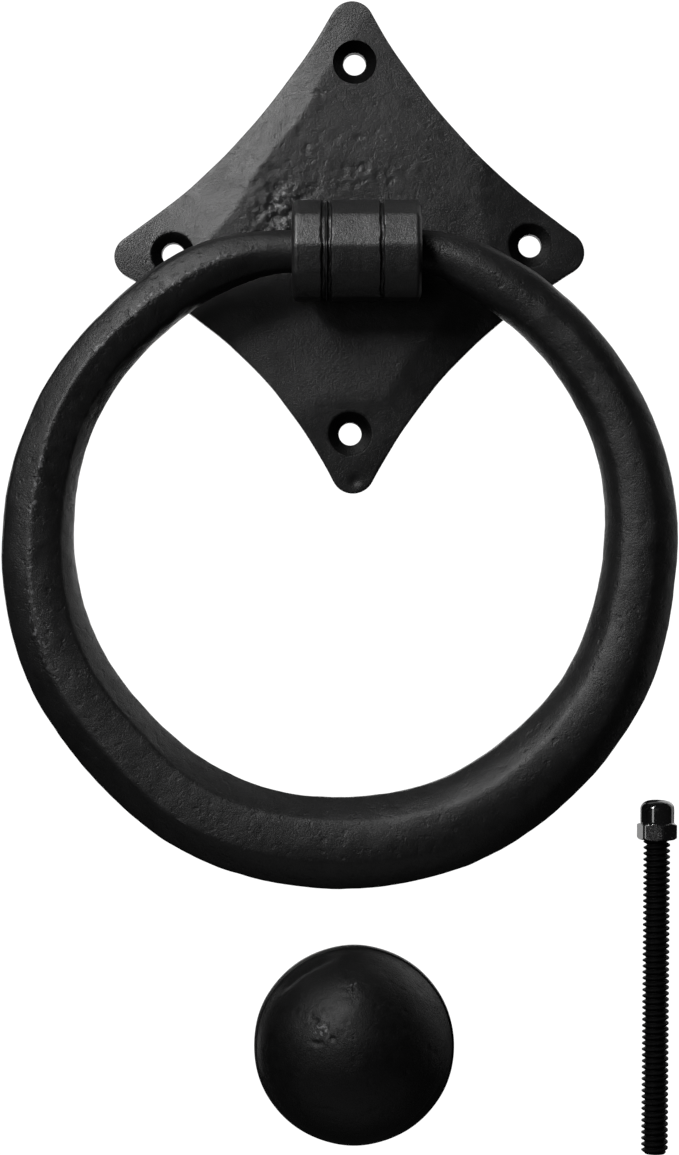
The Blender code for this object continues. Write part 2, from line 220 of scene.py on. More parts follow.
def in_space(flat):
    """(x, z) points as (x, 0, z) points."""
    return np.stack([flat[..., 0], np.zeros(flat.shape[:-1]), flat[..., 1]], axis=-1)


def smoothstep(t):
    t = np.clip(t, 0, 1)
    return t * t * (3 - 2 * t)


def soft_min(a, b, width):
    """The smaller of two, with the corner between them rounded."""
    t = np.clip(0.5 + 0.5 * (b - a) / width, 0, 1)
    return b + (a - b) * t - width * t * (1 - t)


# ---------------------------------------------------------------- meshes

def make_mesh(name, verts, faces, merge=1e-7, shortest=1e-8, fill=False):
    """A mesh in metres from points in millimetres, with its faces turned outward. Points closer
    than the merge distance become one, and fill closes what is left open."""
    mesh = bpy.data.meshes.new(name)
    mesh.from_pydata((np.asarray(verts, float) * MM).tolist(), [], faces)
    bm = bmesh.new()
    bm.from_mesh(mesh)
    bmesh.ops.remove_doubles(bm, verts=bm.verts, dist=merge)
    bmesh.ops.dissolve_degenerate(bm, edges=bm.edges, dist=shortest)
    if fill:
        loose = [vert for vert in bm.verts if not vert.link_faces]
        bmesh.ops.delete(bm, geom=loose, context="VERTS")
        open_edges = [edge for edge in bm.edges if edge.is_boundary]
        bmesh.ops.holes_fill(bm, edges=open_edges, sides=0)
    bmesh.ops.recalc_face_normals(bm, faces=bm.faces)
    bm.to_mesh(mesh)
    bm.free()
    return mesh


def mesh_points(mesh):
    """A mesh's points, in millimetres."""
    flat = np.empty(len(mesh.vertices) * 3)
    mesh.vertices.foreach_get("co", flat)
    return flat.reshape(-1, 3) / MM


def paint(mesh, painted_shade, rough):
    """Stores two masks for the material: how much painted shade darkens each point, and how rough each
    point is, which also places bright specks and painted glints.
    """
    masks = mesh.attributes.new("finish", "FLOAT_COLOR", "POINT")
    nothing = np.zeros(len(painted_shade))
    colours = np.stack([painted_shade, np.clip(rough, 0, 1), nothing, nothing + 1], axis=-1)
    masks.data.foreach_set("color", colours.ravel())


def make_object(name, mesh):
    thing = bpy.data.objects.new(name, mesh)
    bpy.context.collection.objects.link(thing)
    return thing


def finish_piece(name, mesh, body, node, material, sharp=SHARP):
    """Shows a mesh in place of a CAD node."""
    mesh.shade_smooth()
    mesh.set_sharp_from_angle(angle=sharp)
    mesh.materials.clear()
    mesh.materials.append(material)
    piece = make_object(name, mesh)
    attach(piece, body)
    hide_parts(node)


def joined(name, meshes):
    """One closed mesh from overlapping closed meshes."""
    base = make_object(name + "_base", meshes[0])
    others = [make_object(f"{name}_{k}", mesh) for k, mesh in enumerate(meshes[1:])]
    for other in others:
        modifier = base.modifiers.new(other.name, "BOOLEAN")
        modifier.operation = "UNION"
        modifier.solver = "EXACT"
        modifier.object = other
    shown = base.evaluated_get(bpy.context.evaluated_depsgraph_get())
    result = bpy.data.meshes.new_from_object(shown)
    for thing in [base] + others:
        bpy.data.objects.remove(thing)
    return result


def loop_faces(rows, columns, closed=False):
    """Quads between rows of points, each row a closed loop; closed also joins the last row to the
    first."""
    faces = []
    for r in range(rows if closed else rows - 1):
        low = r * columns
        high = (r + 1) % rows * columns
        for c in range(columns):
            after = (c + 1) % columns
            faces.append((low + c, low + after, high + after, high + c))
    return faces


def capped_rows(rows):
    """Points and faces of a stack of closed loops, with each end closed by a fan."""
    count, columns = rows.shape[:2]
    points = rows.reshape(-1, 3)
    faces = loop_faces(count, columns)
    for row in (0, count - 1):
        middle = len(points)
        points = np.vstack([points, rows[row].mean(axis=0)])
        start = row * columns
        for c in range(columns):
            faces.append((start + c, start + (c + 1) % columns, middle))
    return points, faces


def angles(count):
    return np.arange(count) * 2 * math.pi / count


# ---------------------------------------------------------------- back plate

def arc_points(centre, radius, start, end, spacing):
    """Points along an arc, without its last."""
    count = max(2, round(abs(end - start) * radius / spacing))
    turn = start + (end - start) * np.arange(count) / count
    return centre + radius * np.stack([np.cos(turn), np.sin(turn)], axis=-1)


def plate_outline(spacing):
    """The diamond's outline, clockwise: a round tip, a hollow side, and so on."""
    centres = []
    radii = []
    for i, bulge in enumerate(SIDE_BULGES):
        start = TIPS[i]
        end = TIPS[(i + 1) % 4]
        half = np.linalg.norm(end - start) / 2
        outward = np.array((start[1] - end[1], end[0] - start[0])) / (2 * half)
        radius = (half**2 + bulge**2 - TIP_RADIUS**2) / (2 * (TIP_RADIUS - bulge))
        centres.append((start + end) / 2 + outward * (radius + bulge))
        radii.append(radius)
    parts = []
    for i, tip in enumerate(TIPS):
        before = centres[i - 1] - tip
        after = centres[i] - tip
        start = math.atan2(before[1], before[0])
        end = start - (start - math.atan2(after[1], after[0])) % (2 * math.pi)
        parts.append(arc_points(tip, TIP_RADIUS, start, end, spacing))
        reach = TIPS[(i + 1) % 4] - centres[i]
        start = math.atan2(-after[1], -after[0])
        end = start + (math.atan2(reach[1], reach[0]) - start + math.pi) % (2 * math.pi) - math.pi
        parts.append(arc_points(centres[i], radii[i], start, end, spacing))
    return np.vstack(parts)


def outward_normals(loop):
    """Unit normals of a clockwise loop."""
    along = np.roll(loop, -1, axis=0) - np.roll(loop, 1, axis=0)
    along /= np.linalg.norm(along, axis=1, keepdims=True)
    return np.stack([-along[:, 1], along[:, 0]], axis=-1)


def distance_to_loop(points, loop):
    """The distance from each point to the loop, and where along the loop its nearest point is,
    from 0 to 1."""
    best = np.full(len(points), np.inf)
    where = np.zeros(len(points))
    for k in range(len(loop)):
        start = loop[k]
        step = loop[(k + 1) % len(loop)] - start
        t = np.clip((points - start) @ step / (step @ step), 0, 1)
        gap = np.linalg.norm(points - start - t[:, None] * step, axis=1)
        nearer = gap < best
        best[nearer] = gap[nearer]
        where[nearer] = (k + t[nearer]) / len(loop)
    return best, where


def falling_away(points):
    """How far each point is below the plate's middle because of the facets."""
    drop = np.zeros(len(points))
    for start, heading, slope, roundness, half_length in FACETS:
        heading = math.radians(heading)
        past = (points - start) @ np.array((math.cos(heading), math.sin(heading)))
        past = past + 0.9 * noise(in_space(points), 8.0, round(100 * slope))
        beside = (points - start) @ np.array((math.sin(heading), -math.cos(heading)))
        fade = 1 - 0.7 * smoothstep((np.abs(beside) - half_length) / FACET_FADE)
        drop = -soft_min(-drop, -slope * past * fade, roundness)
    return drop


def lumpiness(points):
    """1 at the roughest place on the plate, falling to 0 round it."""
    return np.exp(-((points - LUMPY_PLACE) ** 2).sum(axis=1) / (2 * LUMPY_SPREAD**2))


def scarring(points):
    """1 in the plate's scarred middle, falling to 0 round it."""
    return np.exp(-(((points - SCARRED_PLACE) / SCARRED_SPREAD) ** 2).sum(axis=1) / 2)


def nicks(points):
    """Small crescent dents."""
    deep = np.zeros(len(points))
    for k, nick in enumerate(NICKS):
        away = points - nick
        gap = np.linalg.norm(away, axis=1)
        facing = np.cos(np.arctan2(away[:, 1], away[:, 0]) - math.radians(70 + 25 * k))
        deep += np.exp(-(((gap - NICK_RADIUS) / 0.3) ** 2)) * smoothstep(facing * 1.5)
    return deep


def plate_height(points):
    """How far the plate's hammered front stands off the door."""
    place = in_space(points)
    lumpy = lumpiness(points)
    scarred = scarring(points)
    height = PLATE_THICKNESS - 0.12 - falling_away(points)
    height += 0.07 * noise(place, 17.0, 11) + 0.05 * hammer_marks(place, 7.5, 21)
    height += lumpy * 0.34 * fractal(place, 1.7, 31, 3) + scarred * 0.012 * fractal(place, 2.6, 32)
    chipped = smoothstep((noise(place, 4.5, 34) - 0.15) / 0.35) * scarred
    height += 0.09 * chipped * noise(place, 1.0, 35)
    along = points[:, 0] * math.cos(SCAR_DIRECTION) + points[:, 1] * math.sin(SCAR_DIRECTION)
    beside = points[:, 1] * math.cos(SCAR_DIRECTION) - points[:, 0] * math.sin(SCAR_DIRECTION)
    streaks = noise(in_space(np.stack([along / 6, beside], axis=-1)), 0.8, 33)
    height += (0.004 + 0.012 * scarred) * streaks
    height -= 0.5 * np.maximum(noise(place, 1.1, 41) - 0.45, 0) * (0.04 + 0.2 * scarred + 0.8 * lumpy)
    height -= 0.12 * nicks(points)
    height += 0.012 * noise(place, 2.2, 51)
    height -= 0.35 * np.exp(-((points - TIP_DENT) ** 2).sum(axis=1) / 0.8)

    floor = PLATE_THICKNESS - COUNTERSINK_DEPTH
    for hole in SCREW_HOLES:
        from_hole = np.linalg.norm(points - hole, axis=1)
        up_cone = np.clip((from_hole - HOLE_RADIUS) / (COUNTERSINK_RADIUS - HOLE_RADIUS), 0, 1)
        sunk = floor + up_cone * (height - floor)
        height = np.where(from_hole < COUNTERSINK_RADIUS, sunk, height)
    return np.minimum(height, PLATE_THICKNESS)


def triangulate(loops, inside, holes):
    """Triangles that fill the first loop, through the inside points and outside the holes, which
    are (centre, radius)."""
    points = np.vstack(list(loops) + [inside])
    edges = []
    start = 0
    for loop in loops:
        edges += [(start + k, start + (k + 1) % len(loop)) for k in range(len(loop))]
        start += len(loop)
    flat = [Vector(p) for p in points.tolist()]
    _, _, faces, originals, _, _ = delaunay_2d_cdt(flat, edges, [], 1, 1e-7)
    rename = [ids[0] for ids in originals]
    faces = [tuple(rename[v] for v in face) for face in faces]
    middles = np.array([points[list(face)].mean(axis=0) for face in faces])
    open_place = np.zeros(len(faces), bool)
    for centre, radius in holes:
        open_place |= np.linalg.norm(middles - centre, axis=1) < radius
    return points, [face for face, is_open in zip(faces, open_place) if not is_open]


def lattice(outline, clear_of):
    """A triangular lattice inside the outline that keeps clear of the loops' own points."""
    low = outline.min(axis=0)
    high = outline.max(axis=0)
    row_step = PLATE_MESH * math.sqrt(3) / 2
    rows = np.arange(low[1], high[1], row_step)
    points = []
    for k, z in enumerate(rows):
        x = np.arange(low[0] + PLATE_MESH / 2 * (k % 2), high[0], PLATE_MESH)
        points.append(np.stack([x, np.full(len(x), z)], axis=-1))
    points = np.vstack(points)
    gap, where = distance_to_loop(points, outline)
    nearest = outline[(np.round(where * len(outline)).astype(int)) % len(outline)]
    normals = outward_normals(outline)[(np.round(where * len(outline)).astype(int)) % len(outline)]
    within = ((points - nearest) * normals).sum(axis=1) < 0
    keep = within & (gap > 0.6 * PLATE_MESH)
    for centre, radius in clear_of:
        keep &= np.abs(np.linalg.norm(points - centre, axis=1) - radius) > 0.5 * PLATE_MESH
    return points[keep]


def circle(centre, radius, count):
    turn = -angles(count)
    return centre + radius * np.stack([np.cos(turn), np.sin(turn)], axis=-1)


def make_plate(material, shaded_hole_material):
    """The diamond plate, with the second material, a darker and duller copy that paints shade, in its
    countersinks.
    """
    true_outline = plate_outline(0.55)
    normals = outward_normals(true_outline)
    wander = 0.10 * noise(in_space(true_outline), 6.0, 3) - 0.06
    outline = true_outline + normals * wander[:, None]
    front_edge = outline - normals * FRONT_INSET
    back_edge = outline - normals * BACK_INSET

    tenon = np.array((HINGE[0], HINGE[2]))
    drilled = [circle(hole, HOLE_RADIUS, RIM_COLUMNS) for hole in SCREW_HOLES]
    sunk = [circle(hole, COUNTERSINK_RADIUS, RIM_COLUMNS + 16) for hole in SCREW_HOLES]
    bores = [(hole, HOLE_RADIUS) for hole in SCREW_HOLES]
    sinks = [(hole, COUNTERSINK_RADIUS) for hole in SCREW_HOLES]
    tenon_hole = (tenon, TENON_RADIUS + TENON_CLEARANCE)
    inside = lattice(front_edge, bores + sinks + [tenon_hole])
    holes = bores + [tenon_hole]
    for centre, radius in holes:
        inside = inside[np.linalg.norm(inside - centre, axis=1) > radius]
    tenon_front = circle(*tenon_hole, RIM_COLUMNS)
    front_loops = [front_edge] + drilled + [tenon_front] + sunk
    front, front_faces = triangulate(front_loops, inside, holes)
    height = plate_height(front)

    peened_hole = (tenon, PEENED_RADIUS + TENON_CLEARANCE)
    tenon_back = circle(*peened_hole, RIM_COLUMNS)
    back_holes = bores + [peened_hole]
    back_loops = [back_edge] + drilled + [tenon_back]
    back, back_faces = triangulate(back_loops, np.empty((0, 2)), back_holes)

    verts = [np.stack([front[:, 0], -height, front[:, 1]], axis=-1), in_space(back)]
    faces = list(front_faces) + [tuple(v + len(front) for v in face) for face in back_faces]

    def add_wall(front_start, back_start, count, between):
        """Joins a front loop to the matching back loop through rows of points between them."""
        loops = [np.arange(count) + front_start]
        for row in between:
            loops.append(np.arange(count) + sum(map(len, verts)))
            verts.append(row)
        loops.append(np.arange(count) + len(front) + back_start)
        for low, high in zip(loops, loops[1:]):
            for c in range(count):
                after = (c + 1) % count
                faces.append((low[c], low[after], high[after], high[c]))

    edge_height = height[: len(outline)]
    rounded = []
    for inset, drop in ((0.03, 0.10), (0.0, 0.3)):
        row = outline - normals * inset
        rounded.append(np.stack([row[:, 0], drop - edge_height, row[:, 1]], axis=-1))
    low_edge = in_space(outline)
    low_edge[:, 1] = -0.5
    add_wall(0, 0, len(outline), rounded + [low_edge])
    start = len(outline)
    for _ in drilled:
        add_wall(start, start, RIM_COLUMNS, [])
        start += RIM_COLUMNS
    seat = in_space(tenon_front)
    seat[:, 1] = -PEENED_DEPTH
    add_wall(start, start, RIM_COLUMNS, [seat])
    mesh = make_mesh("back_plate_mesh", np.vstack(verts), [tuple(map(int, face)) for face in faces])
    points = mesh_points(mesh)
    flat = points[:, [0, 2]]
    # Painted shade: the countersinks are darkened in colour and take the darker hole material.
    painted_shade = np.zeros(len(points))
    for hole in SCREW_HOLES:
        from_hole = np.linalg.norm(flat - hole, axis=1)
        painted_shade = np.maximum(painted_shade, from_hole < COUNTERSINK_RADIUS + 0.05)
    paint(mesh, painted_shade, lumpiness(flat) + 0.5 * scarring(flat))
    finish_piece("forged_back_plate", mesh, "back_plate", "back_plate", material)
    mesh.materials.append(shaded_hole_material)
    for face in mesh.polygons:
        face.material_index = int(all(painted_shade[v] > 0.5 for v in face.vertices))


# ---------------------------------------------------------------- knuckle

def filed_radius(turn):
    """The barrel's radius as a share of its full radius, at an angle up from the front."""
    ridges = np.sort(np.radians(RIDGES) % (2 * math.pi))
    turn = turn % (2 * math.pi)
    index = np.searchsorted(ridges, turn) % len(ridges)
    end = ridges[index]
    start = ridges[index - 1]
    span = (end - start) % (2 * math.pi)
    from_middle = (turn - start) % (2 * math.pi) - span / 2
    flat = np.cos(span / 2) / np.cos(from_middle)
    return 1 + FLATNESS * (flat - 1)


def groove_depth(x):
    """How deep the barrel's grooves are at places along it."""
    depth = np.zeros_like(x)
    for middle, width, deepest in GROOVES:
        depth = np.maximum(depth, deepest * smoothstep(1.6 * (1 - np.abs(x - middle) / (width / 2))))
    return depth


def make_barrel():
    """The filed barrel with its bore, as loops from one end round to the other and back inside."""
    columns = 144
    half = BARREL_LENGTH / 2
    along = np.linspace(-half + 0.9, half - 0.9, 150)
    turn = angles(columns)
    rows = []

    def add_row(x, radius):
        rows.append(np.stack([x, -radius * np.cos(turn), radius * np.sin(turn)], axis=-1))

    def outer(x, inset=0.0):
        across = BARREL_RADIUS * np.array((-np.cos(turn), np.sin(turn)))
        place = np.stack([np.full(columns, x), *across], axis=-1)
        radius = BARREL_RADIUS * filed_radius(turn + 0.02 * noise(place, 7.0, 61)) - inset
        radius -= groove_depth(x + 0.15 * noise(place, 2.2, 65)) * (1 + 0.3 * noise(place, 3.0, 62))
        return radius + 0.05 * noise(place, 4.0, 63) + 0.018 * noise(place, 1.0, 64) - 0.06

    for step, inset in BARREL_BEVEL:
        add_row(np.full(columns, -half + step), outer(-half + step, inset))
    for x in along:
        add_row(np.full(columns, x), outer(x))
    for step, inset in reversed(BARREL_BEVEL):
        add_row(np.full(columns, half - step), outer(half - step, inset))
    mouth = (
        (half, END_RADIUS),
        (half - 0.05, BORE_RADIUS + BORE_ROUNDING),
        (half - BORE_ROUNDING, BORE_RADIUS),
    )
    for x, radius in mouth:
        add_row(np.full(columns, x), np.full(columns, radius))
    for x, radius in reversed(mouth):
        add_row(np.full(columns, -x), np.full(columns, radius))
    points = np.vstack(rows) + HINGE
    return make_mesh("barrel_mesh", points, loop_faces(len(rows), columns, closed=True))


def make_neck():
    """The block between the barrel and the plate, as loops from inside the barrel to the plate."""
    columns = 96
    turn = angles(columns)
    x = np.sign(np.cos(turn)) * np.abs(np.cos(turn)) ** NECK_SQUARENESS * NECK[0] / 2
    z = np.sign(np.sin(turn)) * np.abs(np.sin(turn)) ** NECK_SQUARENESS * NECK[1] / 2
    front = -PLATE_THICKNESS - 0.02
    rows = []
    for y, scale in ((HINGE[1] + 6.2, 0.97), (front - 2.5, 1.0), (front - 0.4, 1.0), (front, 0.96)):
        row = np.stack([HINGE[0] + x * scale, np.full(columns, y), HINGE[2] + z * scale], axis=-1)
        row += 0.08 * noise(row, 5.0, 71)[:, None] * np.array((1, 0, 1))
        rows.append(row)
    return make_mesh("neck_mesh", *capped_rows(np.array(rows)))


def make_tenon():
    """The round tenon through the plate, spread into its countersink at the back."""
    columns = 64
    turn = angles(columns)
    front = -PLATE_THICKNESS
    profile = (
        (front - 1.0, TENON_RADIUS),
        (-PEENED_DEPTH - 0.02, TENON_RADIUS),
        (-0.35, PEENED_RADIUS - 0.15),
        (-0.08, PEENED_RADIUS - 0.1),
        (0.0, PEENED_RADIUS - 0.5),
    )
    rows = []
    for y, radius in profile:
        x = HINGE[0] + radius * np.cos(turn)
        rows.append(np.stack([x, np.full(columns, y), HINGE[2] + radius * np.sin(turn)], axis=-1))
    return make_mesh("tenon_mesh", *capped_rows(np.array(rows)))


def make_knuckle(material):
    mesh = joined("knuckle_mesh", [make_barrel(), make_neck(), make_tenon()])
    points = mesh_points(mesh)
    along = points[:, 0] - HINGE[0]
    deep = groove_depth(along) > 0.2
    from_axis = np.hypot(points[:, 1] - HINGE[1], points[:, 2] - HINGE[2])
    behind = smoothstep((points[:, 1] - HINGE[1] - 3) / 4)
    inside = from_axis < BORE_RADIUS + 0.2
    rough = 0.5 * smoothstep((-along - 5) / 4)
    # Painted shade: the grooves, the bore and the barrel's back towards the plate are darkened in
    # colour.
    paint(mesh, np.maximum.reduce([deep, behind, inside]), rough)
    finish_piece("forged_knuckle", mesh, "back_plate", "knuckle", material)


# ---------------------------------------------------------------- pull ring

def on_bend(side, angle):
    """A point on the ring's centreline, at an angle from the top, on one side."""
    clockwise = angle if side > 0 else 2 * math.pi - angle
    radius = RING_RADIUS
    for at, depth in RING_FLATS:
        radius -= depth * math.exp(-(((math.degrees(clockwise) - at) / RING_FLAT_SPREAD) ** 2))
    return RING_CENTRE + radius * np.array((side * math.sin(angle), math.cos(angle)))


def half_path(side):
    """Centreline from the barrel's face to the bottom of the ring, on one side."""
    hinge = np.array((HINGE[0], HINGE[2]))
    outward = np.array((side, 0.0))
    face = hinge + outward * BARREL_LENGTH / 2
    joint = on_bend(side, SHOULDER_ANGLE)
    tangent = np.array((side * math.cos(SHOULDER_ANGLE), -math.sin(SHOULDER_ANGLE)))
    reach = np.linalg.norm(joint - face)
    points = []
    for t in np.linspace(0, 1, 40, endpoint=False):
        points.append(
            (2 * t**3 - 3 * t**2 + 1) * face
            + (t**3 - 2 * t**2 + t) * reach * outward
            + (3 * t**2 - 2 * t**3) * joint
            + (t**3 - t**2) * reach * tangent
        )
    for angle in np.linspace(SHOULDER_ANGLE, math.pi, 230):
        points.append(on_bend(side, angle))
    return np.array(points)


def bar_radii(points):
    """The bar's radius at points along its centreline, and how far each is from the barrel."""
    steps = np.linalg.norm(np.diff(points, axis=0), axis=1)
    from_face = np.concatenate([[0], np.cumsum(steps)])
    from_centre = points - RING_CENTRE
    upward = from_centre[:, 1] / np.linalg.norm(from_centre, axis=1)
    full = BAR_RADIUS - BAR_TAPER * upward
    return full - (full - JOURNAL_RADIUS) * np.exp(-((from_face / NECKING_LENGTH) ** 2)), from_face


def ridge_angle(middle):
    """Where the first ridge stands round the bar, for points along its centreline."""
    clockwise = np.arctan2(middle[:, 0] - RING_CENTRE[0], middle[:, 2] - RING_CENTRE[1])
    twist = RIDGE_TWIST * np.cos(clockwise - math.radians(TWIST_FROM))
    return np.radians(MEAN_RIDGE + twist) - 0.16 * noise(middle, 24.0, 80)


def make_ring(material):
    columns = 88
    halves = []
    for side in (1, -1):
        points = half_path(side)
        radii, from_face = bar_radii(points)
        inner = points[0] - np.array((side * JOURNAL_DEPTH, 0))
        journal = [inner + (side * step, 0) for step, _ in JOURNAL_END]
        journal.append(points[0] - (side * 0.3, 0))
        points = np.vstack([journal, points])
        radii = np.concatenate([[radius for _, radius in JOURNAL_END], [JOURNAL_RADIUS], radii])
        from_face = np.concatenate([[0, 0, 0, 0], from_face])
        halves.append((points, radii, from_face))
    right, left = halves
    points = np.vstack([right[0], left[0][-2::-1]])
    radii = np.concatenate([right[1], left[1][-2::-1]])
    from_face = np.concatenate([right[2], left[2][-2::-1]])

    along = np.gradient(points, axis=0)
    along /= np.linalg.norm(along, axis=1, keepdims=True)
    across = np.stack([-along[:, 1], along[:, 0]], axis=-1)
    turn = angles(columns)
    around = (
        np.cos(turn)[None, :, None] * in_space(across)[:, None, :]
        + np.sin(turn)[None, :, None] * np.array((0, -1.0, 0))
    )
    middle = in_space(points) + np.array((0, HINGE[1], 0))
    rightward = smoothstep((middle[:, 0] - RING_CENTRE[0]) / 60 + 0.5)
    around_bar = turn[None, :] - ridge_angle(middle)[:, None]
    share = 2 * math.pi / BAR_FLATS
    from_flat = around_bar % share - share / 2
    flats = BAR_FLATNESS * (math.cos(share / 2) / np.cos(from_flat) - 1)
    uneven = (1 - 0.5 * rightward) * (1 + 0.4 * noise(middle, 30.0, 79))
    rows = middle[:, None, :] + radii[:, None, None] * around
    relief = 0.12 * noise(rows, 13.0, 81) + 0.09 * (hammer_marks(rows, 9.0, 82) + 0.4)
    relief += 0.06 * noise(rows, 4.0, 83) + 0.035 * fractal(rows, 1.6, 84, 2)
    raised = 0.4 * BAR_FLATNESS * (1 - math.cos(share / 2))
    relief += radii[:, None] * (flats * uneven[:, None] + raised)
    fade = smoothstep((from_face - 0.5) / 8)
    rows += (relief * fade[:, None])[..., None] * around
    mesh = make_mesh("pull_ring_mesh", *capped_rows(rows))
    points = mesh_points(mesh)
    from_centre = points[:, [0, 2]] - RING_CENTRE
    reach = np.linalg.norm(from_centre, axis=1)
    middle = in_space(RING_CENTRE + from_centre * (RING_RADIUS / reach)[:, None])
    around_bar = np.arctan2(HINGE[1] - points[:, 1], reach - RING_RADIUS)
    # Painted glints: bright specks along the ridge, only on the ring's upper left, the side the light
    # falls on.
    off_ridge = (around_bar - ridge_angle(middle + (0, HINGE[1], 0))) / RIDGE_GLINT_SPREAD
    upper_left = (from_centre[:, 1] - from_centre[:, 0]) / 60
    ridge_glints = np.exp(-(off_ridge**2)) * smoothstep(upper_left)
    paint(mesh, np.zeros(len(points)), 0.4 + 0.3 * noise(points, 14.0, 85) + 0.6 * ridge_glints)
    finish_piece("forged_pull_ring", mesh, "pull_ring", "pull_ring", material)


# ---------------------------------------------------------------- striker

def make_striker(material):
    columns = 180
    turn = angles(columns)
    base = STRIKER_RADIUS - STRIKER_STEP
    dome_radius = (base**2 + STRIKER_DOME**2) / (2 * STRIKER_DOME)
    opening = math.asin(base / dome_radius)
    dome_centre = STRIKER_RIM + STRIKER_DOME - dome_radius
    around = np.stack([np.cos(turn), np.zeros(columns), np.sin(turn)], axis=-1)
    outline = 1 + 0.006 * noise(around, 0.8, 91) + 0.004 * noise(around, 0.35, 92)
    profile = [
        (STRIKER_HOLE_RADIUS, -STRIKER_HOLE_DEPTH),
        (STRIKER_HOLE_RADIUS, -0.5),
        (STRIKER_HOLE_RADIUS + 0.5, 0.0),
        (STRIKER_RADIUS - 0.4, 0.0),
        (STRIKER_RADIUS - 0.1, -0.15),
        (STRIKER_RADIUS, -0.5),
        (STRIKER_RADIUS, -STRIKER_RIM + 0.5),
        (STRIKER_RADIUS - 0.12, -STRIKER_RIM + 0.12),
        (STRIKER_RADIUS - 0.45, -STRIKER_RIM),
    ]
    rows = []
    for radius, y in profile:
        uneven = outline[:, None] if radius > STRIKER_RADIUS / 2 else 1
        rows.append(around * radius * uneven + np.array((0, y, 0)))
    dome_rows = 90
    crown = []
    for k in range(dome_rows):
        angle = opening * (1 - k / dome_rows)
        radius = dome_radius * math.sin(angle)
        row = around * (radius * (1 + (outline - 1) * radius / base))[:, None]
        row[:, 1] = -dome_centre - dome_radius * math.cos(angle)
        crown.append(row)
    crown = np.array(crown)
    outward = crown - np.array((0, -dome_centre, 0))
    outward /= np.linalg.norm(outward, axis=-1, keepdims=True)
    relief = 0.16 * noise(crown, 10.0, 93) + 0.11 * (hammer_marks(crown, 8.0, 94) + 0.4)
    relief += 0.03 * noise(crown, 3.0, 95) - 0.3 * np.maximum(noise(crown, 1.3, 96) - 0.6, 0)
    for x, z, spread in PIT_CLUSTERS:
        away = np.hypot(crown[..., 0] - x, crown[..., 2] - z) / spread
        relief -= 0.4 * np.exp(-(away**2)) * np.maximum(noise(crown, 0.95, 97) - 0.1, 0)
    fade = smoothstep(np.arange(dome_rows) / 6) * smoothstep((dome_rows - np.arange(dome_rows)) / 3)
    relief = relief * fade[:, None]
    share = 1 - np.linalg.norm(crown[..., [0, 2]], axis=-1) / base
    for middle, half_width in CREASES:
        beside = np.abs((np.degrees(turn) - middle + 180) % 360 - 180) / half_width
        strength = smoothstep(1.6 * (1 - beside))
        relief -= 0.45 * strength * np.exp(-(((share - CREASE_INSET) / 0.022) ** 2))
    crown += relief[..., None] * outward
    rows = np.vstack([np.array(rows), crown]) + np.array((STRIKER_CENTRE[0], 0, STRIKER_CENTRE[1]))
    mesh = make_mesh("striker_mesh", *capped_rows(rows))
    points = mesh_points(mesh)
    # Painted glints: the pit clusters, the first where the dome's highlight falls, get bright specks
    # in colour as well as real pits.
    pits_and_glints = np.zeros(len(points))
    for x, z, spread in PIT_CLUSTERS:
        away = np.linalg.norm(points[:, [0, 2]] - STRIKER_CENTRE - (x, z), axis=1) / spread
        pits_and_glints = np.maximum(pits_and_glints, np.exp(-(away**2)))
    paint(mesh, np.zeros(len(points)), pits_and_glints)
    finish_piece("forged_striker", mesh, "striker", "striker", material)


# ---------------------------------------------------------------- rod and nut

def stand_on_rod(points):
    """Points along the upright rod, moved to where the leaning rod stands."""
    lean = np.array((
        (math.cos(ROD_LEAN), 0, math.sin(ROD_LEAN)),
        (0, 1, 0),
        (-math.sin(ROD_LEAN), 0, math.cos(ROD_LEAN)),
    ))
    return points @ lean.T + ROD_TIP


def thread_radius(phase):
    """The rod's radius at a phase of the thread: flat crest, 60 degree flanks, round root."""
    t = np.abs(2 * (phase % 1) - 1)
    slope = np.clip((t - 0.12) / 0.68, 0, 1)
    return ROOT + (CREST - ROOT) * smoothstep(0.5 + (slope - 0.5) * 0.9)


def make_rod(material):
    """The threaded rod, as one strip wound up it whose edges meet a pitch apart."""
    steps = 36
    per_pitch = 10
    length = ROD_BARE + ROD_IN_NUT
    rows = round(length / PITCH + 3) * per_pitch
    column, row = np.meshgrid(np.arange(steps), np.arange(rows))
    z = (row / per_pitch + column / steps - 1.5) * PITCH
    z = np.clip(z, 0, length)
    turn = column * 2 * math.pi / steps
    radius = thread_radius(z / PITCH - column / steps)
    tip = np.minimum(z, length - z)
    radius = np.minimum(radius, CREST - 0.55 + tip)
    points = np.stack([radius * np.cos(turn), radius * np.sin(turn), z], axis=-1)
    points += (0.02 * noise(points, 0.8, 101))[..., None] * np.stack(
        [np.cos(turn), np.sin(turn), np.zeros_like(z)], axis=-1)
    faces = []
    for r in range(rows - 1):
        for c in range(steps - 1):
            here = r * steps + c
            faces.append((here, here + 1, here + steps + 1, here + steps))
    for r in range(rows - 1 - per_pitch):
        here = r * steps + steps - 1
        there = (r + per_pitch) * steps
        faces.append((here, there, there + steps, here + steps))
    points = stand_on_rod(points.reshape(-1, 3))
    mesh = make_mesh("rod_mesh", points, faces, merge=2e-6, shortest=1e-6, fill=True)
    finish_piece("threaded_rod_detail", mesh, "threaded_rod", "threaded_rod", material)


def hexagon_radius(turn):
    """A hexagon's radius at each angle, with slightly rounded corners."""
    sixth = math.pi / 3
    from_flat = (turn - HEX_TURN) % sixth - sixth / 2
    corner = ACROSS_FLATS / math.sqrt(3) - CORNER_ROUNDING
    return soft_min(ACROSS_FLATS / 2 / np.cos(from_flat), corner, 0.08)


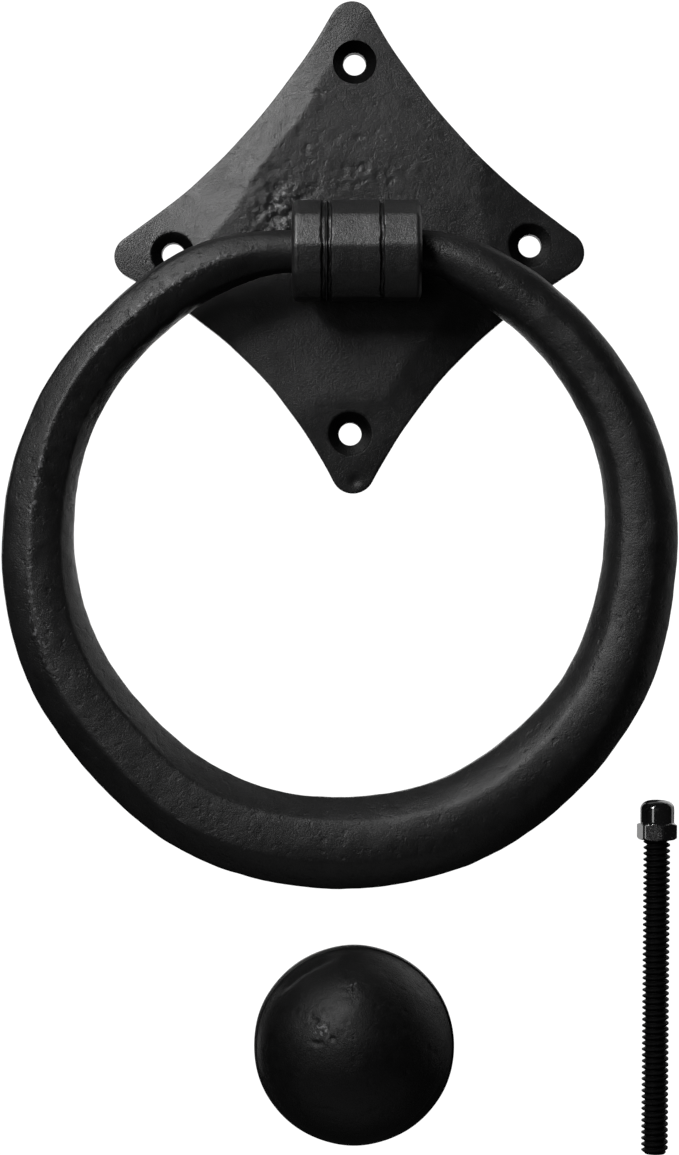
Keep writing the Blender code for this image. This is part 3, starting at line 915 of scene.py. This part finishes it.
def make_nut(material):
    columns = 144
    turn = angles(columns)
    hexagon = hexagon_radius(turn)
    rows = []

    def add_row(z, radius):
        x = radius * np.cos(turn)
        y = radius * np.sin(turn)
        rows.append(np.stack([x, y, np.full(columns, z)], axis=-1))

    add_row(NUT_BORE_DEPTH, NUT_BORE_RADIUS)
    add_row(0.25, NUT_BORE_RADIUS)
    add_row(0.0, NUT_BORE_RADIUS + 0.2)
    for z in np.linspace(0, CHAMFER_HEIGHT, 6):
        add_row(z, np.minimum(hexagon, CHAMFER_RADIUS + z * CHAMFER_SLOPE))
    for z in np.linspace(0.6, HEX_HEIGHT - 0.6, 8):
        add_row(z, hexagon)
    for z in np.linspace(HEX_HEIGHT - CHAMFER_HEIGHT, HEX_HEIGHT, 6):
        add_row(z, np.minimum(hexagon, CHAMFER_RADIUS + (HEX_HEIGHT - z) * CHAMFER_SLOPE))
    add_row(HEX_HEIGHT + 0.02, CAP_RADIUS + 0.02)
    add_row(HEX_HEIGHT + 0.12, CAP_RADIUS - 0.06)
    cap_start = NUT_HEIGHT - CAP_ROUND_HEIGHT
    for z in np.linspace(HEX_HEIGHT + 0.3, cap_start, 5):
        add_row(z, CAP_WALL)
    cap_rows = 28
    for k in range(1, cap_rows):
        angle = math.pi / 2 * k / cap_rows
        rise = CAP_ROUND_HEIGHT * math.sin(angle) ** CAP_FULLNESS
        add_row(cap_start + rise, CAP_WALL * math.cos(angle) ** CAP_FULLNESS)
    points, faces = capped_rows(np.array(rows))
    points[-1, 2] = NUT_HEIGHT
    points[:, 2] += ROD_BARE
    mesh = make_mesh("cap_nut_mesh", stand_on_rod(points), faces)
    finish_piece("cap_nut_detail", mesh, "cap_nut", "cap_nut", material, math.radians(24))


# ---------------------------------------------------------------- materials

class Recipe:
    """A material's nodes, with short calls to add them."""

    def __init__(self, name):
        self.material = bpy.data.materials.new(name)
        self.material.use_nodes = True
        self.tree = self.material.node_tree
        self.shader = self.tree.nodes["Principled BSDF"]
        self.place = self.node("ShaderNodeTexCoord").outputs["Object"]

    def node(self, kind, settings=None, **inputs):
        node = self.tree.nodes.new(kind)
        for name, value in (settings or {}).items():
            setattr(node, name, value)
        for name, value in inputs.items():
            self.feed(node, name, value)
        return node

    def feed(self, node, name, value):
        socket = node.inputs[int(name[1:])] if name[0] == "_" else node.inputs[name]
        if isinstance(value, bpy.types.NodeSocket):
            self.tree.links.new(value, socket)
        else:
            socket.default_value = value

    def noise(self, scale, detail=2.0, roughness=0.5):
        return self.node(
            "ShaderNodeTexNoise", Vector=self.place, Scale=scale, Detail=detail, Roughness=roughness
        ).outputs["Fac"]

    def ramp(self, value, low, high, to_low=0.0, to_high=1.0):
        inputs = {"Value": value, "From Min": low, "From Max": high}
        inputs.update({"To Min": to_low, "To Max": to_high})
        return self.node("ShaderNodeMapRange", {"clamp": True}, **inputs).outputs["Result"]

    def math(self, operation, a, b):
        return self.node("ShaderNodeMath", {"operation": operation}, _0=a, _1=b).outputs["Value"]

    def mix(self, factor, a, b):
        node = self.node("ShaderNodeMix", {"data_type": "RGBA"})
        self.feed(node, "_0", factor)
        self.feed(node, "_6", a)
        self.feed(node, "_7", b)
        return node.outputs[2]

    def bump(self, height, distance, strength, normal=None):
        node = self.node("ShaderNodeBump", Height=height, Distance=distance, Strength=strength)
        if normal is not None:
            self.feed(node, "Normal", normal)
        return node.outputs["Normal"]


def grey(value):
    """A very slightly blue grey."""
    return (value, value, value * 1.03, 1.0)


def forged_iron(name, dark, light, rough, gloss, pits):
    """Black satin paint over hammered iron: fine grain, pits, painted shade in the places the first
    mask marks, worn edges, and bright specks where the mesh is painted roughest, which on the ring's
    lit ridge and the striker's pit clusters are painted glints.
    The numbers are its darkest and lightest grey, its roughness, how strongly it reflects, and how
    deep its pits are."""
    r = Recipe(name)
    finish = r.node("ShaderNodeAttribute", {"attribute_name": "finish"}).outputs["Color"]
    finish = r.node("ShaderNodeSeparateColor", Color=finish)
    painted_shade = finish.outputs["Red"]
    coarseness_and_glints = finish.outputs["Green"]
    mottle = r.noise(95, 4, 0.6)
    blotch = r.noise(420, 4, 0.65)
    grain = r.noise(3600, 3, 0.75)
    pitting = r.ramp(r.noise(800, 2, 0.5), 0.58, 0.74)
    pitting = r.math("MULTIPLY", pitting, r.ramp(coarseness_and_glints, 0, 1, 0.25, 1.0))
    worn = r.ramp(r.node("ShaderNodeNewGeometry").outputs["Pointiness"], 0.52, 0.60)
    worn = r.math("MULTIPLY", worn, r.ramp(blotch, 0.35, 0.65))

    colour = r.mix(r.ramp(mottle, 0.3, 0.7), grey(dark), grey(light))
    colour = r.mix(r.math("MULTIPLY", worn, 0.6), colour, grey(light * 2))
    colour = r.mix(r.math("MULTIPLY", pitting, 0.5), colour, grey(dark * 0.5))
    # Painted shade: where the first mask is set, the colour is darkened to a quarter of the darkest
    # grey.
    colour = r.mix(painted_shade, colour, grey(dark * 0.25))
    # Bright specks where the second mask is high; on the ring's lit ridge and the striker's pit
    # clusters they are painted glints.
    chips_and_glints = r.math("MULTIPLY", r.ramp(r.noise(1300, 2, 0.6), 0.56, 0.64), r.ramp(coarseness_and_glints, 0.7, 1.0))
    colour = r.mix(r.math("MULTIPLY", chips_and_glints, 0.9), colour, grey(0.06))
    r.feed(r.shader, "Base Color", colour)
    roughness = r.ramp(blotch, 0.3, 0.7, rough - 0.06, rough + 0.07)
    roughness = r.math("SUBTRACT", roughness, r.math("MULTIPLY", chips_and_glints, 0.12))
    roughness = r.math("ADD", roughness, r.math("MULTIPLY", pitting, 0.12))
    roughness = r.math("SUBTRACT", roughness, r.math("MULTIPLY", worn, 0.06))
    r.feed(r.shader, "Roughness", roughness)
    normal = r.bump(r.math("MULTIPLY", blotch, r.ramp(coarseness_and_glints, 0, 1, 0.5, 2.0)), 0.00012, 0.5)
    normal = r.bump(r.noise(1500, 2, 0.6), 0.00005, 0.5, normal)
    normal = r.bump(grain, 0.00007, 1.0, normal)
    normal = r.bump(r.math("MULTIPLY", pitting, -1.0), 0.00010, pits, normal)
    r.feed(r.shader, "Normal", normal)
    r.shader.inputs["Specular IOR Level"].default_value = gloss
    return r.material


def blackened_steel(name, dark, light, rough):
    """Dull black oxide on the rolled thread, rubbed on the crests."""
    r = Recipe(name)
    blotch = r.noise(900, 3, 0.6)
    worn = r.ramp(r.node("ShaderNodeNewGeometry").outputs["Pointiness"], 0.52, 0.60)
    colour = r.mix(r.ramp(blotch, 0.35, 0.65), grey(dark), grey(light))
    colour = r.mix(r.math("MULTIPLY", worn, 0.5), colour, grey(light * 2))
    r.feed(r.shader, "Base Color", colour)
    r.feed(r.shader, "Roughness", r.ramp(blotch, 0.3, 0.7, rough - 0.06, rough + 0.08))
    r.feed(r.shader, "Normal", r.bump(r.noise(3200, 3, 0.6), 0.00003, 0.5))
    r.shader.inputs["Specular IOR Level"].default_value = 0.04
    return r.material


def gloss_black(name, dark, rough):
    """Smooth glossy black coating on the nut, with faint specks."""
    r = Recipe(name)
    specks = r.ramp(r.noise(2600, 3, 0.6), 0.60, 0.70)
    orange_peel = r.noise(1500, 2, 0.5)
    colour = r.mix(specks, grey(dark), grey(dark * 2.2))
    r.feed(r.shader, "Base Color", colour)
    r.feed(r.shader, "Roughness", r.ramp(specks, 0, 1, rough, rough + 0.25))
    r.feed(r.shader, "Normal", r.bump(orange_peel, 0.00002, 0.25))
    r.shader.inputs["Specular IOR Level"].default_value = 1.0
    return r.material


# ---------------------------------------------------------------- studio

def add_softbox(name, heading, height, distance, size, power):
    """A soft light that faces the object's middle. The heading is in degrees from the camera's side,
    positive to the right, and the height is in degrees up."""
    middle = Vector((CAMERA_PLACE[0], -0.01, CAMERA_PLACE[2]))
    heading = math.radians(heading)
    height = math.radians(height)
    away = Vector((
        math.sin(heading) * math.cos(height),
        -math.cos(heading) * math.cos(height),
        math.sin(height),
    ))
    light = bpy.data.lights.new(name, "AREA")
    light.shape = "RECTANGLE"
    light.size, light.size_y = size
    light.energy = power
    lamp = bpy.data.objects.new(name, light)
    lamp.location = middle + away * distance
    lamp.rotation_euler = away.to_track_quat("Z", "Y").to_euler()
    bpy.context.collection.objects.link(lamp)


def make_studio():
    """The lights, and white surroundings that are bright only where the camera sees them."""
    for name, place in LIGHTS.items():
        add_softbox(name, *place)
    world = bpy.data.worlds.new("studio")
    world.use_nodes = True
    nodes = world.node_tree.nodes
    white = nodes["Background"]
    white.inputs["Color"].default_value = (1, 1, 1, 1)
    seen = nodes.new("ShaderNodeMapRange")
    seen.inputs["To Min"].default_value = AMBIENT
    seen.inputs["To Max"].default_value = BACKGROUND
    path = nodes.new("ShaderNodeLightPath")
    links = world.node_tree.links
    links.new(path.outputs["Is Camera Ray"], seen.inputs["Value"])
    links.new(seen.outputs["Result"], white.inputs["Strength"])
    bpy.context.scene.world = world
    bpy.context.scene.view_settings.view_transform = "Standard"


def make_camera():
    """A long lens level with the object's middle, straight in front of it."""
    camera = bpy.data.cameras.new("camera")
    camera.sensor_fit = "VERTICAL"
    camera.sensor_height = 36
    camera.lens = CAMERA_LENS
    camera.clip_start = 0.01
    eye = bpy.data.objects.new("camera", camera)
    eye.location = CAMERA_PLACE
    eye.rotation_euler = (math.pi / 2, 0, 0)
    bpy.context.collection.objects.link(eye)
    bpy.context.scene.camera = eye


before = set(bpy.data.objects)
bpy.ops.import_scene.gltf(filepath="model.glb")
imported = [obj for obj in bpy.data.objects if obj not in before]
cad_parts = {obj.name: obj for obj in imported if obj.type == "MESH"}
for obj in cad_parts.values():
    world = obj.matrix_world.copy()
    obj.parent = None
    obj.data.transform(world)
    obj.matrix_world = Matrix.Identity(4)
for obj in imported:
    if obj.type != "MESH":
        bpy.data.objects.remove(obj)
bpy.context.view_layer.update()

make_plate(
    forged_iron("plate_iron", 0.003, 0.006, 0.35, 0.24, 0.8),
    forged_iron("painted_shade_hole_iron", 0.001, 0.002, 0.45, 0.06, 0.5),
)
make_knuckle(forged_iron("knuckle_iron", 0.003, 0.006, 0.37, 0.38, 0.5))
make_ring(forged_iron("ring_iron", 0.002, 0.004, 0.43, 0.2, 0.9))
make_striker(forged_iron("striker_iron", 0.0008, 0.0015, 0.46, 0.14, 0.8))
make_rod(blackened_steel("rod_steel", 0.0008, 0.0015, 0.55))
make_nut(gloss_black("nut_gloss", 0.004, 0.10))
make_studio()
make_camera()
